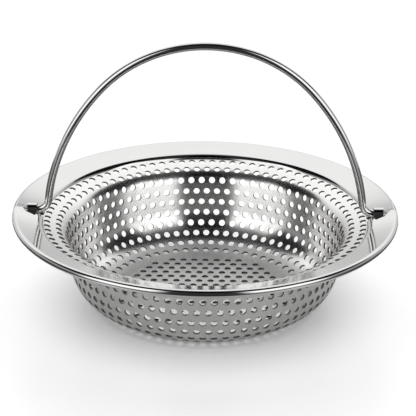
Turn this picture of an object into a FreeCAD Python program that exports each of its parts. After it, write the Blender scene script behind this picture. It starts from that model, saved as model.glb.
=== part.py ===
# Sink strainer: a drawn basket of perforated steel, a polished rim ring curled round the edge of
# the basket's flange, and a wire bail whose turned-out ends pivot in two sockets of the rim.
# Millimetres, +Z up. The origin is the middle of the underside of the basket's floor.

import FreeCAD, Part
import math
import os

Vec = FreeCAD.Vector
AXIS_X = Vec(1, 0, 0)
AXIS_Y = Vec(0, 1, 0)
AXIS_Z = Vec(0, 0, 1)
ORIGIN = Vec(0, 0, 0)

# Basket: sheet and drawn form
sheet = 0.6
bowl_inset = 20.9
corner_radius = 13.2
wall_taper = 7.0
shoulder_radius = 4.6
flange_height = 25.5
dish_angle = 16.0

# Basket: perforation, which repeats in equal sectors round the axis
hole_diameter = 2.0
hole_sides = 6
sectors = 6
floor_pitch = 3.5
first_row = 4.1
row_pitch = 3.5
ring_pitch = 3.3

# Rim ring
rim_diameter = 114.0
rim_width = 9.0
rim_thickness = 1.0
rim_edge_radius = 2.5
bead_diameter = 2.2

# Bail
wire_diameter = 2.3
bail_rise = 51.0
pivot_reach = 3.7
bend_reach = 1.7
bend_radius = 3.2
leg_lean = 7.0
haunch_radius = 63.0

# Sockets of the rim
bearing_clearance = 0.1
end_gap = 0.3
socket_wall = 0.6
socket_inset = 1.9
socket_crest = 2.8
socket_tail = 1.9
socket_tip_radius = 0.3

# Every cut runs past the faces that it opens by this much
overrun = 1.0

# A plane nearer to the axis than this passes through it
axis_tolerance = 0.00001

taper = math.radians(wall_taper)
dish = math.radians(dish_angle)
lean = math.radians(leg_lean)
sector_angle = 360 / sectors
half_sector = math.pi / sectors
wire_radius = wire_diameter / 2
bead_radius = bead_diameter / 2
rim_inner = rim_diameter / 2 - rim_width

# The bowl, the bail and the sockets keep their places from the rim's inner edge.
floor_diameter = (rim_inner - bowl_inset) * 2
bail_span = (rim_inner + pivot_reach) * 2
bend_span = (rim_inner + bend_reach) * 2
socket_mouth = rim_inner + socket_inset

# The few-sided hole has the open area of the round one.
area_share = hole_sides * math.sin(2 * math.pi / hole_sides) / (2 * math.pi)
hole_corner = hole_diameter / 2 / math.sqrt(area_share)


def dished(along, above):
    """Point of the radial plane, measured along the flange's upper face from the rim's inner edge."""
    return Vec(
        rim_inner + along * math.cos(dish) - above * math.sin(dish),
        0,
        flange_height + along * math.sin(dish) + above * math.cos(dish),
    )


def along_at(radius, above):
    """Distance along the flange at which a line that far above it has the given radius."""
    return (radius - rim_inner + above * math.sin(dish)) / math.cos(dish)


def rounded_corner(before, corner, after, radius):
    """Start, middle and end of the arc that rounds a corner."""
    back = (before - corner).normalize()
    ahead = (after - corner).normalize()
    half = back.getAngle(ahead) / 2
    centre_way = (back + ahead).normalize()
    start = corner + back * (radius / math.tan(half))
    middle = corner + centre_way * (radius / math.sin(half) - radius)
    end = corner + ahead * (radius / math.tan(half))
    return start, middle, end


def both_sides(shape):
    """A feature of the right side with its twin on the left."""
    twin = shape.copy()
    twin.rotate(ORIGIN, AXIS_Z, 180)
    return [shape, twin]


# The flange ends inside the curl of the rim, at the middle of the bead.
bead_above = rim_thickness - bead_radius
bead_along = along_at(rim_diameter / 2 - bead_radius, bead_above)

# The bail's ends turn just clear of the flange.
hinge_height = dished(along_at(bail_span / 2, 0), 0).z + bearing_clearance + wire_radius


def basket_path():
    """Underside of the sheet in the radial plane, from the axis to the edge of the flange."""
    floor_end = Vec(floor_diameter / 2, 0, 0)
    corner = floor_end + AXIS_X * (corner_radius * math.tan((math.pi / 2 - taper) / 2))
    edge = dished(bead_along, -sheet)
    wall_way = Vec(math.sin(taper), 0, math.cos(taper))
    dish_way = Vec(math.cos(dish), 0, math.sin(dish))
    gap = edge - corner
    turn = wall_way.x * dish_way.z - wall_way.z * dish_way.x
    shoulder = corner + wall_way * ((gap.x * dish_way.z - gap.z * dish_way.x) / turn)
    low = rounded_corner(ORIGIN, corner, shoulder, corner_radius)
    high = rounded_corner(corner, shoulder, edge, shoulder_radius)
    return Part.Wire(
        [
            Part.makeLine(ORIGIN, low[0]),
            Part.Arc(*low).toShape(),
            Part.makeLine(low[2], high[0]),
            Part.Arc(*high).toShape(),
            Part.makeLine(high[2], edge),
        ]
    )


def station(path, distance):
    """Place on the path at a distance from its start, and the way up out of the sheet there."""
    for edge in path.OrderedEdges:
        if distance <= edge.Length:
            at = edge.getParameterByLength(distance)
            way = edge.tangentAt(at)
            return edge.valueAt(at), Vec(-way.z, 0, way.x)
        distance -= edge.Length
    return None


def punch(place, way):
    """Tool for one hole through the sheet."""
    up = way.cross(AXIS_Y)
    foot = place - way * overrun
    corners = []
    for side in range(hole_sides):
        turn = 2 * math.pi * side / hole_sides
        corners.append(foot + (AXIS_Y * math.cos(turn) + up * math.sin(turn)) * hole_corner)
    corners.append(corners[0])
    return Part.Face(Part.makePolygon(corners)).extrude(way * (sheet + overrun + overrun))


def floor_holes():
    """Straight staggered rows on the flat of the floor, those that touch the rear sector."""
    reach = floor_diameter / 2
    row_step = floor_pitch * math.sqrt(3) / 2
    columns = int(reach / floor_pitch) + 1
    tools = []
    for row in range(int(reach / row_step) + 1):
        shift = floor_pitch / 2 * (row % 2)
        for column in range(-columns, columns + 1):
            place = Vec(column * floor_pitch + shift, row * row_step, 0)
            beyond = abs(place.x) * math.cos(half_sector) - place.y * math.sin(half_sector)
            if place.Length <= reach and beyond < hole_corner:
                tools.append(punch(place, AXIS_Z))
    return tools


def ring_row(place, way, pitch, stagger):
    """One ring of holes, as much of it as the rear sector needs."""
    count = sectors * round(2 * math.pi * place.x / (sectors * pitch))
    reach = math.ceil(count / sectors / 2) + 1
    tool = punch(place, way)
    tools = []
    for index in range(-reach, reach):
        turned = tool.copy()
        turned.rotate(ORIGIN, AXIS_Z, 90 + 360 / count * (index + stagger))
        tools.append(turned)
    return tools


def ring_holes(path):
    """Staggered rings up the corner and the wall and over the shoulder to the open flange."""
    start = floor_diameter / 2 + first_row
    room = path.Length - bead_along - hole_diameter / 2 - start
    tools = []
    for row in range(int(room / row_pitch) + 1):
        place, way = station(path, start + row * row_pitch)
        tools += ring_row(place, way, ring_pitch, row % 2 / 2)
    return tools


def is_sector_end(face):
    """Whether a face lies in a plane through the axis, as only the ends of a sector do."""
    if not isinstance(face.Surface, Part.Plane):
        return False
    across = face.Surface.Axis
    upright = abs(across.dot(AXIS_Z)) < math.sin(half_sector)
    return upright and abs(face.Surface.Position.dot(across)) < axis_tolerance


def perforated_basket():
    """The bowl with its flange: one perforated sector, repeated round the axis and sewn up."""
    path = basket_path()
    section = path.makeOffset2D(sheet, fill=True, openResult=True)
    section.rotate(ORIGIN, AXIS_Z, 90 - sector_angle / 2)
    sector = section.revolve(ORIGIN, AXIS_Z, sector_angle)
    sector = sector.cut(floor_holes() + ring_holes(path))
    skin = [face for face in sector.Faces if not is_sector_end(face)]
    faces = []
    for index in range(sectors):
        for face in skin:
            turned = face.copy()
            turned.rotate(ORIGIN, AXIS_Z, sector_angle * index)
            faces.append(turned)
    shell = Part.makeCompound(faces)
    shell.sewShape()
    return Part.Solid(shell)


def rim_section():
    """Flat band on the flange, rounded at its inner edge and curled round the flange's outer edge."""
    slot_upper = dished(bead_along, 0)
    slot_lower = dished(bead_along, -sheet)
    lip = math.sqrt(bead_radius**2 - (sheet + bead_above) ** 2)
    lip_end = dished(bead_along - lip, -sheet)
    bead_bottom = dished(bead_along, bead_above - bead_radius)
    bead_outside = dished(bead_along + bead_radius, bead_above)
    bead_top = dished(bead_along, rim_thickness)
    diagonal_share = math.sqrt(1 / 2)
    reach = bead_radius * diagonal_share
    bead_upper = dished(bead_along + reach, bead_above + reach)
    foot = dished(0, 0)
    brow_reach = math.sqrt(rim_thickness * (2 * rim_edge_radius - rim_thickness))
    brow_centre = dished(brow_reach, rim_thickness - rim_edge_radius)
    brow_end = dished(brow_reach, rim_thickness)
    brow_way = (foot - brow_centre + brow_end - brow_centre).normalize()
    brow_middle = brow_centre + brow_way * rim_edge_radius
    return Part.Face(
        Part.Wire(
            [
                Part.makeLine(foot, slot_upper),
                Part.makeLine(slot_upper, slot_lower),
                Part.makeLine(slot_lower, lip_end),
                Part.Arc(lip_end, bead_bottom, bead_outside).toShape(),
                Part.Arc(bead_outside, bead_upper, bead_top).toShape(),
                Part.makeLine(bead_top, brow_end),
                Part.Arc(brow_end, brow_middle, foot).toShape(),
            ]
        )
    )


def over_flange():
    """All the room above the flange's upper face, out to the bead."""
    ceiling = rim_diameter
    corners = [dished(0, 0), dished(bead_along, 0), dished(bead_along, ceiling), dished(0, ceiling)]
    corners.append(corners[0])
    return Part.Face(Part.makePolygon(corners)).revolve(ORIGIN, AXIS_Z, 360)


def socket_body():
    """Pressed-up hood over one end of the bail: a barrel that tapers off towards the bead."""
    radius = wire_radius + bearing_clearance + socket_wall
    mouth = Vec(socket_mouth, 0, hinge_height)
    barrel = Part.makeCylinder(radius, socket_crest, mouth, AXIS_X)
    tail = Part.makeCone(radius, socket_tip_radius, socket_tail, mouth + AXIS_X * socket_crest, AXIS_X)
    return barrel.fuse(tail).common(over_flange())


def socket_bore():
    """Channel for one end of the bail: a round roof with straight sides down to the flange."""
    radius = wire_radius + bearing_clearance
    start = rim_inner - overrun
    length = bail_span / 2 + end_gap - start
    depth = radius + overrun
    roof = Part.makeCylinder(radius, length, Vec(start, 0, hinge_height), AXIS_X)
    below = Part.makeBox(length, radius * 2, depth, Vec(start, -radius, hinge_height - depth))
    return roof.fuse(below)


def rim_ring():
    ring = rim_section().revolve(ORIGIN, AXIS_Z, 360)
    ring = ring.fuse(both_sides(socket_body())).cut(both_sides(socket_bore()))
    return ring.removeSplitter().Solids[0]


def bail_handle():
    """Bent wire: turned-out ends, tight bends, long haunches that lean in, and a rounder arch."""
    end = Vec(bail_span / 2, 0, hinge_height)
    bend_start = Vec(bend_span / 2, 0, hinge_height)
    bend_centre = bend_start + AXIS_Z * bend_radius
    turn = math.pi / 2 - lean
    bend_middle = bend_centre - Vec(math.sin(turn / 2), 0, math.cos(turn / 2)) * bend_radius
    bend_end = bend_centre - Vec(math.sin(turn), 0, math.cos(turn)) * bend_radius
    crown = Vec(0, 0, hinge_height + bail_rise)
    haunch_centre = bend_end - Vec(math.cos(lean), 0, math.sin(lean)) * haunch_radius
    drop = crown.z - haunch_centre.z
    arch_radius = (haunch_radius**2 - haunch_centre.x**2 - drop**2) / (haunch_radius - drop) / 2
    arch_way = crown - AXIS_Z * arch_radius - haunch_centre
    arch_start = math.atan2(arch_way.z, arch_way.x)
    half_way = (lean + arch_start) / 2
    haunch_middle = haunch_centre + Vec(math.cos(half_way), 0, math.sin(half_way)) * haunch_radius
    arch_foot = haunch_centre + Vec(math.cos(arch_start), 0, math.sin(arch_start)) * haunch_radius
    right = [end, bend_start, bend_middle, bend_end, haunch_middle, arch_foot]
    left = [Vec(-point.x, point.y, point.z) for point in right]
    path = Part.Wire(
        [
            Part.makeLine(right[0], right[1]),
            Part.Arc(right[1], right[2], right[3]).toShape(),
            Part.Arc(right[3], right[4], right[5]).toShape(),
            Part.Arc(right[5], crown, left[5]).toShape(),
            Part.Arc(left[5], left[4], left[3]).toShape(),
            Part.Arc(left[3], left[2], left[1]).toShape(),
            Part.makeLine(left[1], left[0]),
        ]
    )
    circle = Part.Wire([Part.makeCircle(wire_radius, end, AXIS_X)])
    return path.makePipe(Part.Face(circle))


os.makedirs("parts", exist_ok=True)
perforated_basket().exportStep("parts/perforated_basket.step")
rim_ring().exportStep("parts/rim_ring.step")
bail_handle().exportStep("parts/bail_handle.step")
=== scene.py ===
import cmath
import math

import bpy
import numpy as np
from mathutils import Matrix, Vector


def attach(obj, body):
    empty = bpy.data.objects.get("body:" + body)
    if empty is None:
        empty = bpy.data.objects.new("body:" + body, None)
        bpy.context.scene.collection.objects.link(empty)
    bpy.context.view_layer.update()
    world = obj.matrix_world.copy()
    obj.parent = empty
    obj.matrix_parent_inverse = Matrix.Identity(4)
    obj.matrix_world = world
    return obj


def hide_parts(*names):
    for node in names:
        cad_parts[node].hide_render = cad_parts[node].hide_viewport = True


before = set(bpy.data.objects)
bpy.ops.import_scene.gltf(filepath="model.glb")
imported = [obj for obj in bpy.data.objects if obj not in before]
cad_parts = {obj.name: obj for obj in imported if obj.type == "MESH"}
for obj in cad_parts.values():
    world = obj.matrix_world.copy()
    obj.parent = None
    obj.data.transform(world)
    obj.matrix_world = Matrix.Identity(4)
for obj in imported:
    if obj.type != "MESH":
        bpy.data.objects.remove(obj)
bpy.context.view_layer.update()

# Perforated basket
# A bowl drawn from one disc of punched stainless sheet, with a flange that the rim ring clamps.
# The floor has straight staggered rows of holes, the wall, shoulder and flange staggered rings.

MM = 0.001
SHEET = 0.6 * MM
FLOOR_RADIUS = 27.1 * MM
CORNER_RADIUS = 13.2 * MM
WALL_TAPER = math.radians(7)
SHOULDER_RADIUS = 4.6 * MM
FLANGE_HEIGHT = 25.5 * MM
DISH = math.radians(16)
WALL_BELLY = math.radians(12)
HOLE_DIAMETER = 2 * MM
FLOOR_PITCH = 3.5 * MM
FLOOR_GRIDS = ((17, 9), (16, 10))
FIRST_ROW = FLOOR_RADIUS + 4.1 * MM
ROW_PITCH = 3.5 * MM
RING_PITCH = 3.3 * MM
RING_ROWS = 10
PUNCH_SHEETS = 4
SEAM = 0.001 * MM
RIM_RADIUS = 57 * MM
RIM_INNER = 48 * MM
RIM_THICKNESS = 1 * MM
BEAD_RADIUS = 1.1 * MM


class Run:
    """A straight or round run of a turned section, in the plane of radius and height.

    Points are complex numbers, radius + height * 1j, and the metal lies to the left of the run.
    """

    def __init__(self, start, end, centre=None, steps=1):
        self.start, self.end, self.centre, self.steps = start, end, centre, steps
        if centre is not None:
            self.sweep = cmath.phase((end - centre) / (start - centre))

    def points(self):
        """Points along the run, without its end."""
        if self.centre is None:
            return [self.start + (self.end - self.start) * k / self.steps for k in range(self.steps)]
        arm = self.start - self.centre
        return [self.centre + arm * cmath.exp(1j * self.sweep * k / self.steps) for k in range(self.steps)]

    def outward(self, place):
        """Way out of the metal at places on the run."""
        if self.centre is None:
            way = -1j * (self.end - self.start) / abs(self.end - self.start)
            return np.full(np.shape(place), way)
        arm = place - self.centre
        return arm / np.abs(arm) * math.copysign(1, self.sweep)

    def distance(self, place):
        """How far places lie from the run."""
        if self.centre is None:
            along = self.end - self.start
            share = ((place - self.start) / along).real.clip(0, 1)
            return np.abs(place - self.start - share * along)
        turn = np.angle((place - self.centre) / (self.start - self.centre)) / self.sweep
        radius = abs(self.start - self.centre)
        ends = np.minimum(np.abs(place - self.start), np.abs(place - self.end))
        return np.where((turn >= 0) & (turn <= 1), np.abs(np.abs(place - self.centre) - radius), ends)

    def lifted(self, thickness):
        """The run on the other side of a sheet, gone along the other way."""
        near_end = self.end - self.outward(np.array(self.end)) * thickness
        near_start = self.start - self.outward(np.array(self.start)) * thickness
        return Run(complex(near_end), complex(near_start), self.centre, self.steps)


def rounded(before, corner, after, radius, steps):
    """The round run that takes off a corner of a section."""
    back = (before - corner) / abs(before - corner)
    ahead = (after - corner) / abs(after - corner)
    half = abs(cmath.phase(back / ahead)) / 2
    centre = corner + (back + ahead) / abs(back + ahead) * radius / math.sin(half)
    reach = radius / math.tan(half)
    return Run(corner + back * reach, corner + ahead * reach, centre, steps)


def dished(along, above):
    """Point over the flange, measured along its upper face from the rim's inner edge."""
    return complex(RIM_INNER, FLANGE_HEIGHT) + complex(along, above) * cmath.exp(1j * DISH)


BEAD_ABOVE = RIM_THICKNESS - BEAD_RADIUS
BEAD_ALONG = (RIM_RADIUS - BEAD_RADIUS - RIM_INNER + BEAD_ABOVE * math.sin(DISH)) / math.cos(DISH)


def basket_underside():
    """Runs of the sheet's underside, from the axis out to the edge of the flange."""
    corner = complex(FLOOR_RADIUS + CORNER_RADIUS * math.tan((math.pi / 2 - WALL_TAPER) / 2), 0)
    edge = dished(BEAD_ALONG, -SHEET)
    wall_way = cmath.exp(1j * (math.pi / 2 - WALL_TAPER))
    dish_way = cmath.exp(1j * DISH)
    gap = edge - corner
    turn = (wall_way.conjugate() * dish_way).imag
    shoulder = corner + wall_way * (gap.conjugate() * dish_way).imag / turn
    low = rounded(0, corner, shoulder, CORNER_RADIUS, 14)
    high = rounded(corner, shoulder, edge, SHOULDER_RADIUS, 10)
    return [
        Run(0j, low.start, steps=3),
        low,
        Run(low.end, high.start, steps=4),
        high,
        Run(high.end, edge, steps=3),
    ]


def basket_section():
    """Runs of the sheet's whole section: its underside, its outer edge and its upper side."""
    under = basket_underside()
    over = [run.lifted(SHEET) for run in reversed(under)]
    return under + [Run(under[-1].end, over[0].start)] + over


class Socket:
    """A socket of a node tree; sums and products of sockets add Math nodes to the tree."""

    def __init__(self, tree, socket):
        self.tree, self.socket = tree, socket

    def math(self, operation, *others):
        """A Math node on this socket and others."""
        return Tree(self.tree).add("ShaderNodeMath", dict(enumerate((self, *others))), operation=operation)

    def other(self, name):
        """Another output of the same node."""
        return Socket(self.tree, self.socket.node.outputs[name])

    def __add__(self, value):
        return self.math("ADD", value)

    def __radd__(self, value):
        return self.math("ADD", value)

    def __sub__(self, value):
        return self.math("SUBTRACT", value)

    def __rsub__(self, value):
        return (self * -1) + value

    def __mul__(self, value):
        return self.math("MULTIPLY", value)

    def __rmul__(self, value):
        return self.math("MULTIPLY", value)

    def __truediv__(self, value):
        return self.math("DIVIDE", value)


class Tree:
    """Adds nodes to a node tree by type, settings and the values or links of their sockets."""

    def __init__(self, tree):
        self.tree = tree

    def add(self, kind, values=None, **settings):
        """A new node's first output in use; a list of values links them all to one socket."""
        node = self.tree.nodes.new(kind)
        for name, value in settings.items():
            setattr(node, name, value)
        for name, value in (values or {}).items():
            for item in value if isinstance(value, list) else [value]:
                if isinstance(item, Socket):
                    self.tree.links.new(item.socket, node.inputs[name])
                else:
                    node.inputs[name].default_value = item
        outputs = [socket for socket in node.outputs if socket.enabled]
        return Socket(self.tree, outputs[0]) if outputs else None


def geometry_tree(name, inputs):
    """A new Geometry Nodes tree with named inputs, each a socket type and a start value."""
    tree = bpy.data.node_groups.new(name, "GeometryNodeTree")
    tree.interface.new_socket("Geometry", in_out="INPUT", socket_type="NodeSocketGeometry")
    for label, (kind, value) in inputs.items():
        socket = tree.interface.new_socket(label, in_out="INPUT", socket_type=kind)
        if value is not None:
            socket.default_value = value
    tree.interface.new_socket("Geometry", in_out="OUTPUT", socket_type="NodeSocketGeometry")
    return tree, Tree(tree).add("NodeGroupInput")


def turned_tree():
    """A chain of points in the XZ plane, turned round Z into a closed skin."""
    tree, source = geometry_tree(
        "turned section",
        {"Points": ("NodeSocketInt", 2), "Segments": ("NodeSocketInt", 8)},
    )
    build = Tree(tree)
    around = source.other("Segments") + 1
    grid = build.add("GeometryNodeMeshGrid", {"Vertices X": source.other("Points"), "Vertices Y": around})
    index = build.add("GeometryNodeInputIndex")
    station = build.add("FunctionNodeIntegerMath", {0: index, 1: around}, operation="DIVIDE_FLOOR")
    turn = build.add("FunctionNodeIntegerMath", {0: index, 1: around}, operation="MODULO")
    turn = turn * -math.tau / source.other("Segments")
    place = build.add("GeometryNodeInputPosition")
    place = build.add(
        "GeometryNodeSampleIndex",
        {"Geometry": source, "Value": place, "Index": station},
        data_type="FLOAT_VECTOR",
        domain="POINT",
    )
    radius = build.add("ShaderNodeSeparateXYZ", {0: place})
    spot = build.add(
        "ShaderNodeCombineXYZ",
        {0: radius * turn.math("COSINE"), 1: radius * turn.math("SINE"), 2: radius.other("Z")},
    )
    skin = build.add("GeometryNodeSetPosition", {"Geometry": grid, "Position": spot})
    skin = build.add("GeometryNodeMergeByDistance", {"Geometry": skin, "Distance": SEAM})
    build.add("NodeGroupOutput", {0: skin})
    return tree


def punch_shape(build, source):
    """A round punch, some sheets long."""
    return build.add(
        "GeometryNodeMeshCylinder",
        {
            "Vertices": source.other("Hole Sides"),
            "Radius": source.other("Hole Diameter") / 2,
            "Depth": source.other("Sheet") * PUNCH_SHEETS,
        },
    )


def hole_ring_tree():
    """One ring of punches through the sheet, at a distance along the section."""
    tree, source = geometry_tree(
        "hole ring",
        {
            "Distance": ("NodeSocketFloat", 0.0),
            "Pitch": ("NodeSocketFloat", 1.0),
            "Stagger": ("NodeSocketFloat", 0.0),
            "Hole Diameter": ("NodeSocketFloat", 1.0),
            "Hole Sides": ("NodeSocketInt", 8),
            "Sheet": ("NodeSocketFloat", 1.0),
        },
    )
    build = Tree(tree)
    curve = build.add("GeometryNodeMeshToCurve", {"Mesh": source})
    sample = build.add(
        "GeometryNodeSampleCurve",
        {"Curves": curve, "Length": source.other("Distance")},
        mode="LENGTH",
    )
    way = build.add("ShaderNodeSeparateXYZ", {0: sample.other("Tangent")})
    spot = build.add("ShaderNodeSeparateXYZ", {0: sample.other("Position")})
    half = source.other("Sheet") / 2
    middle = build.add(
        "ShaderNodeCombineXYZ",
        {0: spot - way.other("Z") * half, 1: 0.0, 2: spot.other("Z") + way * half},
    )
    tilt = (way.other("Z") * -1).math("ARCTAN2", way)
    tilt = build.add("ShaderNodeCombineXYZ", {0: 0.0, 1: tilt, 2: 0.0})
    punch = punch_shape(build, source)
    punch = build.add("GeometryNodeTransform", {"Geometry": punch, "Translation": middle, "Rotation": tilt})
    count = (spot * math.tau / source.other("Pitch") / 6).math("ROUND") * 6
    points = build.add("GeometryNodePoints", {"Count": count})
    turn = (build.add("GeometryNodeInputIndex") + source.other("Stagger")) * math.tau / count + math.pi / 2
    turn = build.add("ShaderNodeCombineXYZ", {0: 0.0, 1: 0.0, 2: turn})
    ring = build.add(
        "GeometryNodeInstanceOnPoints",
        {"Points": points, "Instance": punch, "Rotation": turn},
    )
    build.add("NodeGroupOutput", {0: ring})
    return tree


def floor_points(build, source, columns, rows):
    """Every other row of the floor's punching pattern, as far as it lies on the flat."""
    pitch = source.other("Floor Pitch")
    grid = build.add(
        "GeometryNodeMeshGrid",
        {
            "Size X": pitch * (columns - 1),
            "Size Y": pitch * math.sqrt(3) * (rows - 1),
            "Vertices X": columns,
            "Vertices Y": rows,
        },
    )
    place = build.add("GeometryNodeInputPosition")
    away = build.add("ShaderNodeVectorMath", {0: place}, operation="LENGTH").other("Value")
    outside = away.math("GREATER_THAN", source.other("Floor Reach"))
    return build.add("GeometryNodeDeleteGeometry", {"Geometry": grid, "Selection": outside}, domain="POINT")


def basket_tree(turned, hole_ring):
    """The turned bowl less every hole of the floor, the wall and the flange."""
    tree, source = geometry_tree(
        "perforated basket",
        {
            "Points": ("NodeSocketInt", 2),
            "Segments": ("NodeSocketInt", 144),
            "Sheet": ("NodeSocketFloat", SHEET),
            "Hole Diameter": ("NodeSocketFloat", HOLE_DIAMETER),
            "Hole Sides": ("NodeSocketInt", 20),
            "Floor Pitch": ("NodeSocketFloat", FLOOR_PITCH),
            "Floor Reach": ("NodeSocketFloat", FLOOR_RADIUS),
            "First Row": ("NodeSocketFloat", FIRST_ROW),
            "Row Pitch": ("NodeSocketFloat", ROW_PITCH),
            "Ring Pitch": ("NodeSocketFloat", RING_PITCH),
            "Material": ("NodeSocketMaterial", None),
        },
    )
    build = Tree(tree)
    skin = build.add(
        "GeometryNodeGroup",
        {"Geometry": source, "Points": source.other("Points"), "Segments": source.other("Segments")},
        node_tree=turned,
    )
    punch = punch_shape(build, source)
    punches = []
    for columns, rows in FLOOR_GRIDS:
        points = floor_points(build, source, columns, rows)
        punches.append(build.add("GeometryNodeInstanceOnPoints", {"Points": points, "Instance": punch}))
    for row in range(RING_ROWS):
        punches.append(
            build.add(
                "GeometryNodeGroup",
                {
                    "Geometry": source,
                    "Distance": source.other("First Row") + source.other("Row Pitch") * row,
                    "Pitch": source.other("Ring Pitch"),
                    "Stagger": row % 2 / 2,
                    "Hole Diameter": source.other("Hole Diameter"),
                    "Hole Sides": source.other("Hole Sides"),
                    "Sheet": source.other("Sheet"),
                },
                node_tree=hole_ring,
            )
        )
    punches = build.add("GeometryNodeJoinGeometry", {0: punches})
    punches = build.add("GeometryNodeRealizeInstances", {0: punches})
    sheet = build.add(
        "GeometryNodeMeshBoolean",
        {"Mesh 1": skin, "Mesh 2": punches},
        operation="DIFFERENCE",
        solver="MANIFOLD",
    )
    sheet = build.add("GeometryNodeRealizeInstances", {0: sheet})
    sheet = build.add("GeometryNodeSetMaterial", {"Geometry": sheet, "Material": source.other("Material")})
    build.add("NodeGroupOutput", {0: sheet})
    return tree


def section_points(section):
    """The section's points as a chain in the XZ plane."""
    places = [place for run in section for place in run.points()] + [section[-1].end]
    return [(place.real, 0, place.imag) for place in places]


def made_by_nodes(name, points, tree, values):
    """An object with the plain mesh that a tree makes from a chain of points."""
    chain = bpy.data.meshes.new(name)
    chain.from_pydata(points, [(k, k + 1) for k in range(len(points) - 1)], [])
    piece = bpy.data.objects.new(name, chain)
    bpy.context.scene.collection.objects.link(piece)
    modifier = piece.modifiers.new(tree.name, "NODES")
    modifier.node_group = tree
    for socket in tree.interface.items_tree:
        if socket.in_out == "INPUT" and socket.name in values:
            modifier[socket.identifier] = values[socket.name]
    evaluated = piece.evaluated_get(bpy.context.evaluated_depsgraph_get())
    mesh = bpy.data.meshes.new_from_object(evaluated)
    piece.modifiers.clear()
    piece.data = mesh
    mesh.name = name
    return piece


def mesh_values(items, field, width, kind):
    """One field of all a mesh's items, as rows of an array."""
    values = np.empty(len(items) * width, kind)
    items.foreach_get(field, values)
    return values.reshape(-1, width).astype(float if kind == np.float32 else int)


ON_AXIS = 1e-9
ON_RUN = 0.1 * MM
SAME_WAY = 0.8


def turned_place(places, frame_matrix):
    """Places seen from a turning axis: radius and height as one complex number, and the way out."""
    local = places @ np.array(frame_matrix.to_3x3()).T + np.array(frame_matrix.translation)
    radius = np.hypot(local[:, 0], local[:, 1])
    return radius + 1j * local[:, 2], local[:, :2] / np.maximum(radius, ON_AXIS)[:, None]


def smooth_as_turned(mesh, turned, belly=0.0):
    """Gives the faces that lie on turned sections their exact normals; other faces stay flat.

    The others were cut by a punch, and the face attribute sheared is 1 on them. Each turned section
    is a list of runs, the matrix into its own frame, whose Z is the axis, and any swells in it. A
    belly leans the normals of steep faces, as on a wall that bulges where it was drawn.
    """
    mesh.update()
    normals = mesh_values(mesh.polygons, "normal", 3, np.float32)
    centres = mesh_values(mesh.polygons, "center", 3, np.float32)
    places = mesh_values(mesh.vertices, "co", 3, np.float32)
    corner_vertex = mesh_values(mesh.loops, "vertex_index", 1, np.int32)[:, 0]
    sizes = mesh_values(mesh.polygons, "loop_total", 1, np.int32)[:, 0]
    corner_face = np.repeat(np.arange(len(mesh.polygons)), sizes)
    result = normals[corner_face]
    best = np.full(len(normals), ON_RUN)
    for runs, frame_matrix, *swells in turned:
        turn = np.array(frame_matrix.to_3x3())
        place, unit = turned_place(centres, frame_matrix)
        facing = normals @ turn.T
        facing = (facing[:, :2] * unit).sum(1) + 1j * facing[:, 2]
        spot, spot_unit = turned_place(places[corner_vertex], frame_matrix)
        for run in runs:
            away = run.distance(place)
            agrees = (run.outward(place) * facing.conjugate()).real > SAME_WAY
            chosen = agrees & (away < best)
            best[chosen] = away[chosen]
            corners = chosen[corner_face]
            way = run.outward(spot[corners])
            steep = np.arctan2(np.abs(way.imag), np.abs(way.real))
            steep += belly * (1 - steep / (math.pi / 2 - DISH)).clip(0, 1)
            way = np.sign(way.real) * np.cos(steep) + 1j * np.sign(way.imag) * np.sin(steep)
            local = np.column_stack([spot_unit[corners] * way.real[:, None], way.imag])
            result[corners] = local @ turn
            for swell in swells:
                result[corners] += swell(places[corner_vertex[corners]]) * result[corners, 2:].clip(0)
    result /= np.linalg.norm(result, axis=1)[:, None]
    mesh.polygons.foreach_set("use_smooth", np.ones(len(normals), bool))
    mesh.normals_split_custom_set(result.tolist())
    sheared = mesh.attributes.new("sheared", "FLOAT", "FACE")
    sheared.data.foreach_set("value", (best == ON_RUN).astype(np.float32))


def smooth_step(build, value, low, high):
    """Rises smoothly from 0 at low to 1 at high."""
    return build.add(
        "ShaderNodeMapRange",
        {"Value": value, "From Min": low, "From Max": high},
        interpolation_type="SMOOTHSTEP",
    )


DRAW_LINES_ROUND = 40
DRAW_LINES_UP = 60
DRAW_DEPTH = 0.02 * MM
SMUDGES = 90.0
SMUDGE_SHADE = 0.94
GRAINS = 2500.0
GRAIN_SHARE = 0.05
# Colour of what a punch sheared: painted shade in the holes.
SHEARED_PAINTED_SHADE = (0.2, 0.195, 0.19)
SHEARED_MATT = 0.2
FLOOR_BAND = (1 * MM, 4 * MM)
WALL_FOOT = (8 * MM, 12 * MM)
WALL_TOP = (20 * MM, 22 * MM)
LAY_TURN = 0.25


def cleared_tree(owner):
    """The emptied node tree of a material or a world."""
    owner.use_nodes = True
    owner.node_tree.nodes.clear()
    return Tree(owner.node_tree)


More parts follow.
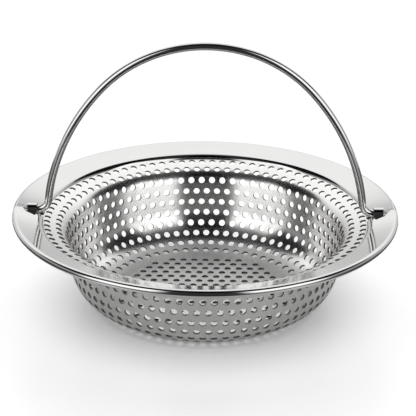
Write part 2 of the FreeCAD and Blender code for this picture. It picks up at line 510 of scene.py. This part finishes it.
def steel(name, tint, roughness, spread, streak, lay=0.0, wall_matt=0.0, floor_matt=0.0):
    """Stainless steel: a tint, a roughness that wanders with handling marks, and faint draw lines.

    Polishing on the turn leaves a lay round the axis that draws reflections out across it. The wall
    and the floor are rougher than what the tools burnish. What a punch sheared is dull, and it is
    painted dark: painted shade in the holes.
    """
    material = bpy.data.materials.new(name)
    build = cleared_tree(material)
    place = build.add("ShaderNodeTexCoord").other("Object")
    sheared = build.add("ShaderNodeAttribute", attribute_name="sheared").other("Fac")
    parts = build.add("ShaderNodeSeparateXYZ", {0: place})
    turn = parts.other("Y").math("ARCTAN2", parts)
    rise = parts.other("Z")
    drawn = build.add("ShaderNodeCombineXYZ", {0: turn * DRAW_LINES_ROUND, 1: rise * DRAW_LINES_UP, 2: 0.0})
    lines = build.add(
        "ShaderNodeTexNoise",
        {"Vector": drawn, "Scale": 1.0, "Detail": 3.0, "Roughness": 0.6},
    )
    smudge = build.add(
        "ShaderNodeTexNoise",
        {"Vector": place, "Scale": SMUDGES, "Detail": 4.0, "Roughness": 0.55},
    )
    grain = build.add("ShaderNodeTexNoise", {"Vector": place, "Scale": GRAINS, "Detail": 2.0})
    wall = smooth_step(build, rise, *WALL_FOOT) * (1 - smooth_step(build, rise, *WALL_TOP))
    floor_band = 1 - smooth_step(build, rise, *FLOOR_BAND)
    matt = wall * wall_matt + floor_band * floor_matt + sheared * SHEARED_MATT
    rough = (smudge - 0.5) * (spread * 2) + (lines - 0.5) * spread + matt + roughness
    shade = build.add(
        "ShaderNodeMix",
        {"Factor": smudge, 6: (*[part * SMUDGE_SHADE for part in tint], 1), 7: (*tint, 1)},
        data_type="RGBA",
    )
    # Sheared faces are painted dark: painted shade in the holes.
    shade = build.add(
        "ShaderNodeMix",
        {"Factor": sheared, 6: shade, 7: (*SHEARED_PAINTED_SHADE, 1)},
        data_type="RGBA",
    )
    height = lines * streak + grain * (streak * GRAIN_SHARE)
    bump = build.add("ShaderNodeBump", {"Strength": 1.0, "Distance": DRAW_DEPTH, "Height": height})
    shader = build.add(
        "ShaderNodeBsdfPrincipled",
        {
            "Base Color": shade,
            "Metallic": 1.0,
            "Roughness": rough,
            "Normal": bump,
            "Anisotropic": lay,
            "Anisotropic Rotation": LAY_TURN,
        },
    )
    build.add("ShaderNodeOutputMaterial", {"Surface": shader})
    return material


basket_steel = steel(
    "basket_steel",
    tint=(0.84, 0.835, 0.825),
    roughness=0.17,
    spread=0.03,
    streak=0.6,
    lay=0.9,
    wall_matt=0.06,
    floor_matt=0.18,
)
section = basket_section()
chain = section_points(section)
turned = turned_tree()
basket = made_by_nodes(
    "basket_sheet",
    chain,
    basket_tree(turned, hole_ring_tree()),
    {"Points": len(chain), "Material": basket_steel},
)
smooth_as_turned(basket.data, [(section, Matrix.Identity(4))], WALL_BELLY)
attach(basket, "strainer")
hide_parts("perforated_basket")

# Rim ring
# A polished stainless ring on the flange, rolled down at its inner edge and curled round the
# flange's outer edge into a bead. Two hoods are pressed up in it, and the bail turns in them.

HINGE_HEIGHT = 27.810958 * MM
SOCKET_MOUTH = 49.9 * MM
SOCKET_CREST = 2.8 * MM
SOCKET_TAIL = 1.9 * MM
SOCKET_RADIUS = 1.85 * MM
SOCKET_TIP = 0.3 * MM
BORE_RADIUS = 1.25 * MM
BORE_END = 52 * MM
BORE_OVERRUN = 1 * MM
BROW_RADIUS = 2.5 * MM
SWELL_REACH = 6 * MM
SWELL_SLOPE = 0.3


def rim_section():
    """Runs of the ring's section, round the metal with the metal to the left."""
    lip = math.sqrt(BEAD_RADIUS**2 - (SHEET + BEAD_ABOVE) ** 2)
    bead = dished(BEAD_ALONG, BEAD_ABOVE)
    foot = dished(0, 0)
    bead_top = dished(BEAD_ALONG, RIM_THICKNESS)
    brow_reach = math.sqrt(RIM_THICKNESS * (2 * BROW_RADIUS - RIM_THICKNESS))
    brow_start = dished(brow_reach, RIM_THICKNESS)
    brow_centre = dished(brow_reach, RIM_THICKNESS - BROW_RADIUS)
    slot_upper = dished(BEAD_ALONG, 0)
    slot_lower = dished(BEAD_ALONG, -SHEET)
    lip_end = dished(BEAD_ALONG - lip, -SHEET)
    outside = dished(BEAD_ALONG + BEAD_RADIUS, BEAD_ABOVE)
    return [
        Run(foot, slot_upper, steps=3),
        Run(slot_upper, slot_lower),
        Run(slot_lower, lip_end),
        Run(lip_end, outside, bead, 20),
        Run(outside, bead_top, bead, 12),
        Run(bead_top, brow_start, steps=4),
        Run(brow_start, foot, brow_centre, 10),
    ]


def socket_runs():
    """One socket turned round the hinge line, from its mouth outwards: barrel, tail and bore."""
    barrel_end = complex(SOCKET_RADIUS, SOCKET_CREST)
    tip = complex(SOCKET_TIP, SOCKET_CREST + SOCKET_TAIL)
    bore_end = complex(BORE_RADIUS, BORE_END - SOCKET_MOUTH)
    return [
        Run(complex(SOCKET_RADIUS, 0), barrel_end),
        Run(barrel_end, tip),
        Run(bore_end, complex(BORE_RADIUS, RIM_INNER - SOCKET_MOUTH)),
    ]


def hood_swell(places):
    """The way the sheet leans where it swells up softly to the hoods, in front of them and behind."""
    across = places[:, 1]
    slope = np.sign(across) * np.exp(-np.abs(across) / SWELL_REACH) * SWELL_SLOPE
    return np.column_stack([slope * 0, slope, slope * 0])


def rim_tree(turned):
    """The turned ring with a hood on each side, and the channels that the bail's ends lie in."""
    tree, source = geometry_tree(
        "rim ring",
        {
            "Points": ("NodeSocketInt", 2),
            "Segments": ("NodeSocketInt", 288),
            "Socket Sides": ("NodeSocketInt", 64),
            "Socket Radius": ("NodeSocketFloat", SOCKET_RADIUS),
            "Tip Radius": ("NodeSocketFloat", SOCKET_TIP),
            "Crest": ("NodeSocketFloat", SOCKET_CREST),
            "Tail": ("NodeSocketFloat", SOCKET_TAIL),
            "Bore Radius": ("NodeSocketFloat", BORE_RADIUS),
            "Material": ("NodeSocketMaterial", None),
        },
    )
    build = Tree(tree)
    ring = build.add(
        "GeometryNodeGroup",
        {"Geometry": source, "Points": source.other("Points"), "Segments": source.other("Segments")},
        node_tree=turned,
    )
    sides = source.other("Socket Sides")

    def along_hinge(shape, centre):
        """A shape turned from Z to the hinge line, with its middle at a radius, and its twin."""
        place = build.add("ShaderNodeCombineXYZ", {0: centre, 1: 0.0, 2: HINGE_HEIGHT})
        shape = build.add(
            "GeometryNodeTransform",
            {"Geometry": shape, "Translation": place, "Rotation": (0, math.pi / 2, 0)},
        )
        twin = build.add("GeometryNodeTransform", {"Geometry": shape, "Rotation": (0, 0, math.pi)})
        return [shape, twin]

    barrel = build.add(
        "GeometryNodeMeshCylinder",
        {"Vertices": sides, "Radius": source.other("Socket Radius"), "Depth": source.other("Crest")},
    )
    tail = build.add(
        "GeometryNodeMeshCone",
        {
            "Vertices": sides,
            "Radius Bottom": source.other("Socket Radius"),
            "Radius Top": source.other("Tip Radius"),
            "Depth": source.other("Tail"),
        },
    )
    hoods = along_hinge(barrel, source.other("Crest") / 2 + SOCKET_MOUTH)
    tails = along_hinge(tail, source.other("Crest") + SOCKET_MOUTH)
    start = RIM_INNER - BORE_OVERRUN
    length = BORE_END - start
    bore = build.add(
        "GeometryNodeMeshCylinder",
        {"Vertices": sides, "Radius": source.other("Bore Radius"), "Depth": length},
    )
    width = source.other("Bore Radius") * 2
    channel = build.add("ShaderNodeCombineXYZ", {0: width, 1: width, 2: length})
    channel = build.add("GeometryNodeMeshCube", {"Size": channel})
    channel = build.add("GeometryNodeTransform", {"Geometry": channel, "Translation": (BORE_RADIUS, 0, 0)})
    bores = along_hinge(bore, start + length / 2) + along_hinge(channel, start + length / 2)
    metal = build.add(
        "GeometryNodeMeshBoolean",
        {"Mesh 2": [ring] + hoods + tails},
        operation="UNION",
        solver="MANIFOLD",
    )
    metal = build.add(
        "GeometryNodeMeshBoolean",
        {"Mesh 1": metal, "Mesh 2": bores},
        operation="DIFFERENCE",
        solver="MANIFOLD",
    )
    metal = build.add("GeometryNodeRealizeInstances", {0: metal})
    metal = build.add("GeometryNodeSetMaterial", {"Geometry": metal, "Material": source.other("Material")})
    build.add("NodeGroupOutput", {0: metal})
    return tree


rim_steel = steel("rim_steel", tint=(0.74, 0.735, 0.73), roughness=0.08, spread=0.02, streak=0.2)
section = rim_section()
chain = section_points(section)
rim = made_by_nodes("rim_band", chain, rim_tree(turned), {"Points": len(chain), "Material": rim_steel})
right = Matrix(((0, 1, 0, 0), (0, 0, 1, -HINGE_HEIGHT), (1, 0, 0, -SOCKET_MOUTH), (0, 0, 0, 1)))
left = right @ Matrix.Rotation(math.pi, 4, "Z")
sockets = [(socket_runs(), right), (socket_runs(), left)]
smooth_as_turned(rim.data, [(section, Matrix.Identity(4), hood_swell), *sockets])
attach(rim, "strainer")
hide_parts("rim_ring")

# Bail
# A polished stainless wire: turned-out ends that spring into the rim's sockets, tight bends,
# long haunches that lean in, and a rounder arch on top to lift the strainer by.

WIRE_RADIUS = 1.15 * MM
BAIL_RISE = 51 * MM
BAIL_SPAN = 103.4 * MM
BEND_SPAN = 99.4 * MM
BEND_RADIUS = 3.2 * MM
LEG_LEAN = math.radians(7)
HAUNCH_RADIUS = 63 * MM
CUT_EDGE = math.radians(50)


def bail_path():
    """Points of the wire's middle line, from the right end over the arch to the left end."""
    bend_start = complex(BEND_SPAN / 2, HINGE_HEIGHT)
    bend_centre = bend_start + 1j * BEND_RADIUS
    bend_end = bend_centre - BEND_RADIUS * cmath.exp(1j * LEG_LEAN)
    crown = complex(0, HINGE_HEIGHT + BAIL_RISE)
    haunch_centre = bend_end - HAUNCH_RADIUS * cmath.exp(1j * LEG_LEAN)
    drop = crown.imag - haunch_centre.imag
    arch_radius = (HAUNCH_RADIUS**2 - haunch_centre.real**2 - drop**2) / (HAUNCH_RADIUS - drop) / 2
    arch_centre = crown - 1j * arch_radius
    arch_way = arch_centre - haunch_centre
    arch_foot = haunch_centre + HAUNCH_RADIUS * arch_way / abs(arch_way)
    half = [
        Run(complex(BAIL_SPAN / 2, HINGE_HEIGHT), bend_start, steps=3),
        Run(bend_start, bend_end, bend_centre, 14),
        Run(bend_end, arch_foot, haunch_centre, 24),
        Run(arch_foot, crown, arch_centre, 28),
    ]
    right_half = [place for run in half for place in run.points()]
    left_half = [-place.conjugate() for place in reversed(right_half)]
    return [(place.real, 0, place.imag) for place in right_half + [crown] + left_half]


def wire_tree():
    """A chain of points drawn out as round wire."""
    tree, source = geometry_tree(
        "bail wire",
        {
            "Wire Radius": ("NodeSocketFloat", WIRE_RADIUS),
            "Sides": ("NodeSocketInt", 40),
            "Material": ("NodeSocketMaterial", None),
        },
    )
    build = Tree(tree)
    curve = build.add("GeometryNodeMeshToCurve", {"Mesh": source})
    profile = build.add(
        "GeometryNodeCurvePrimitiveCircle",
        {"Resolution": source.other("Sides"), "Radius": source.other("Wire Radius")},
    )
    wire = build.add(
        "GeometryNodeCurveToMesh",
        {"Curve": curve, "Profile Curve": profile, "Fill Caps": True},
    )
    wire = build.add("GeometryNodeRealizeInstances", {0: wire})
    wire = build.add("GeometryNodeSetMaterial", {"Geometry": wire, "Material": source.other("Material")})
    build.add("NodeGroupOutput", {0: wire})
    return tree


bail_steel = steel("bail_steel", tint=(0.7, 0.695, 0.69), roughness=0.07, spread=0.02, streak=0.2)
bail = made_by_nodes("bail_wire", bail_path(), wire_tree(), {"Material": bail_steel})
bail.data.polygons.foreach_set("use_smooth", [True] * len(bail.data.polygons))
bail.data.set_sharp_from_angle(angle=CUT_EDGE)
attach(bail, "handle")
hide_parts("bail_handle")

# Stage
# A plain pale floor, white away from the strainer. Round its foot its real shadow is deepened by a
# painted shadow in its glow, wider in what the steel reflects. In reflections alone the floor is also
# painted dark in front and at the sides: a painted dark reflection.

FLOOR_HALF = 3.0
FLOOR_PAINT = (0.85, 0.85, 0.85)
FLOOR_ROUGHNESS = 0.3
FLOOR_FILL = 0.56
# Edges of the painted shadow in the floor's glow, as the camera sees it and as the steel sees it.
PAINTED_SHADOW_INNER = 20 * MM
PAINTED_SHADOW_OUTER = 60 * MM
MIRRORED_SHADOW_INNER = 30 * MM
MIRRORED_SHADOW_OUTER = 110 * MM
# Edges and colour of a painted dark reflection on the floor, seen only by the steel.
DARK_REFLECTION_START = 65 * MM
DARK_REFLECTION_FULL = 85 * MM
DARK_REFLECTION_NEARER = 10 * MM
DARK_REFLECTION_BACK = 150 * MM
DARK_REFLECTION_END = 200 * MM
PAINTED_REFLECTION_DARK = (0.04, 0.04, 0.04)

ground = bpy.data.meshes.new("ground")
corners = ((-1, -1), (1, -1), (1, 1), (-1, 1))
ground.from_pydata([(x * FLOOR_HALF, y * FLOOR_HALF, 0) for x, y in corners], [], [(0, 1, 2, 3)])
floor = bpy.data.objects.new("ground", ground)
bpy.context.scene.collection.objects.link(floor)
pale = bpy.data.materials.new("pale_floor")
build = cleared_tree(pale)
rays = build.add("ShaderNodeLightPath")
mirrored = rays.other("Is Glossy Ray").math("MAXIMUM", rays.other("Is Transmission Ray"))
place = build.add("ShaderNodeTexCoord").other("Object")
away = build.add("ShaderNodeVectorMath", {0: place}, operation="LENGTH").other("Value")
# Painted shadow: the floor's glow fades out towards the strainer's foot.
glow_with_painted_shade = rays * smooth_step(build, away, PAINTED_SHADOW_INNER, PAINTED_SHADOW_OUTER)
spot = build.add("ShaderNodeSeparateXYZ", {0: place})
behind = spot.other("Y")
beside = spot.math("ABSOLUTE") + DARK_REFLECTION_NEARER
# Painted reflection: for glossy rays the floor is painted dark in front and at the sides.
painted_dark_reflection = mirrored * smooth_step(build, (behind * -1).math("MAXIMUM", beside), DARK_REFLECTION_START, DARK_REFLECTION_FULL)
painted_dark_reflection = painted_dark_reflection * (1 - smooth_step(build, behind, DARK_REFLECTION_BACK, DARK_REFLECTION_END))
# Painted shadow in reflections: the glow the steel sees fades out over a wider ring round the foot.
glow_with_painted_shade = glow_with_painted_shade + (mirrored - painted_dark_reflection) * smooth_step(build, away, MIRRORED_SHADOW_INNER, MIRRORED_SHADOW_OUTER)
# For glossy rays the floor's colour turns to the painted dark reflection.
paint = build.add(
    "ShaderNodeMix",
    {"Factor": painted_dark_reflection, 6: (*FLOOR_PAINT, 1), 7: (*PAINTED_REFLECTION_DARK, 1)},
    data_type="RGBA",
)
matt = build.add(
    "ShaderNodeBsdfPrincipled",
    {
        "Base Color": paint,
        "Roughness": FLOOR_ROUGHNESS,
        "Emission Color": glow_with_painted_shade * FLOOR_FILL,
        "Emission Strength": 1.0,
    },
)
build.add("ShaderNodeOutputMaterial", {"Surface": matt})
ground.materials.append(pale)

# Light
# A studio for polished metal: white behind and greyer at the sides, a soft box on each side of the
# camera, and dark cloth overhead and behind the camera, all as a function of direction.

# Edges are cosines of the angle round from the camera.
# The rise, the brims and the horizon are sines of the elevation.
REAR_EDGE = (-0.7, -0.4)
BOX_EDGE = (0.2, 0.4)
CAMERA_EDGE = (0.86, 0.95)
REAR_LIGHT = 0.85
REAR_RISE = (0.1, 0.6)
REAR_RISE_LIGHT = 0.6
BOX_LIGHT = 1.8
SIDE_LIGHT = 0.5
CAMERA_LIGHT = 0.05
HORIZON = (-0.06, 0)
REAR_BRIM = 0.97
BOX_BRIM = 0.71
SIDE_BRIM = 0.42
BRIM_BLUR = 0.05
OVERHEAD_DARK = 0.98
OFF_ZERO = 0.0001

world = bpy.data.worlds.new("studio")
bpy.context.scene.world = world
build = cleared_tree(world)
way = build.add("ShaderNodeSeparateXYZ", {0: build.add("ShaderNodeTexCoord")})
height = way.other("Z")
level = (way * way + way.other("Y") * way.other("Y")).math("SQRT") + OFF_ZERO
front = way.other("Y") * -1 / level
behind_camera = smooth_step(build, front, *CAMERA_EDGE)
boxes = smooth_step(build, front, *BOX_EDGE) * (1 - behind_camera)
rear = 1 - smooth_step(build, front, *REAR_EDGE)
sides = 1 - (rear + boxes + behind_camera)
rear_light = smooth_step(build, height, *REAR_RISE) * REAR_RISE_LIGHT + REAR_LIGHT
light = rear * rear_light + boxes * BOX_LIGHT + sides * SIDE_LIGHT + behind_camera * CAMERA_LIGHT
light = light * smooth_step(build, height, *HORIZON)
brim = rear * (REAR_BRIM - SIDE_BRIM) + (boxes + behind_camera) * (BOX_BRIM - SIDE_BRIM) + SIDE_BRIM
overhead = smooth_step(build, height - brim, -BRIM_BLUR, BRIM_BLUR)
light = light * (1 - overhead * OVERHEAD_DARK)
rays = build.add("ShaderNodeLightPath")
shown = light * (1 - rays) + rays
build.add("ShaderNodeOutputWorld", {"Surface": build.add("ShaderNodeBackground", {"Strength": shown})})

# Camera
# It stands where the photo was taken from, a little to the right of the middle.

CAMERA_AWAY = 500 * MM
CAMERA_RISE = math.radians(23.113)
CAMERA_SIDE = math.radians(0.6)
CAMERA_ROLL = math.radians(0.57)
CAMERA_AIM = Vector((0, 0, 27.66 * MM))
SENSOR_WIDTH = 36
FOCAL_LENGTH = 145.73
PHOTO_PIXELS = 416
SHIFT_ACROSS_PIXELS = 2.78
SHIFT_UP_PIXELS = 3.5
NEAREST = 10 * MM

lens = bpy.data.cameras.new("camera")
lens.sensor_width = SENSOR_WIDTH
lens.lens = FOCAL_LENGTH
lens.shift_x = SHIFT_ACROSS_PIXELS / PHOTO_PIXELS
lens.shift_y = SHIFT_UP_PIXELS / PHOTO_PIXELS
lens.clip_start = NEAREST
camera = bpy.data.objects.new("camera", lens)
bpy.context.scene.collection.objects.link(camera)
back = Vector(
    (
        math.cos(CAMERA_RISE) * math.sin(CAMERA_SIDE),
        -math.cos(CAMERA_RISE) * math.cos(CAMERA_SIDE),
        math.sin(CAMERA_RISE),
    )
)
camera.matrix_world = Matrix.Translation(CAMERA_AIM + back * CAMERA_AWAY) @ (
    back.to_track_quat("Z", "Y").to_matrix().to_4x4() @ Matrix.Rotation(CAMERA_ROLL, 4, "Z")
)
bpy.context.scene.camera = camera
bpy.context.scene.view_settings.view_transform = "Standard"
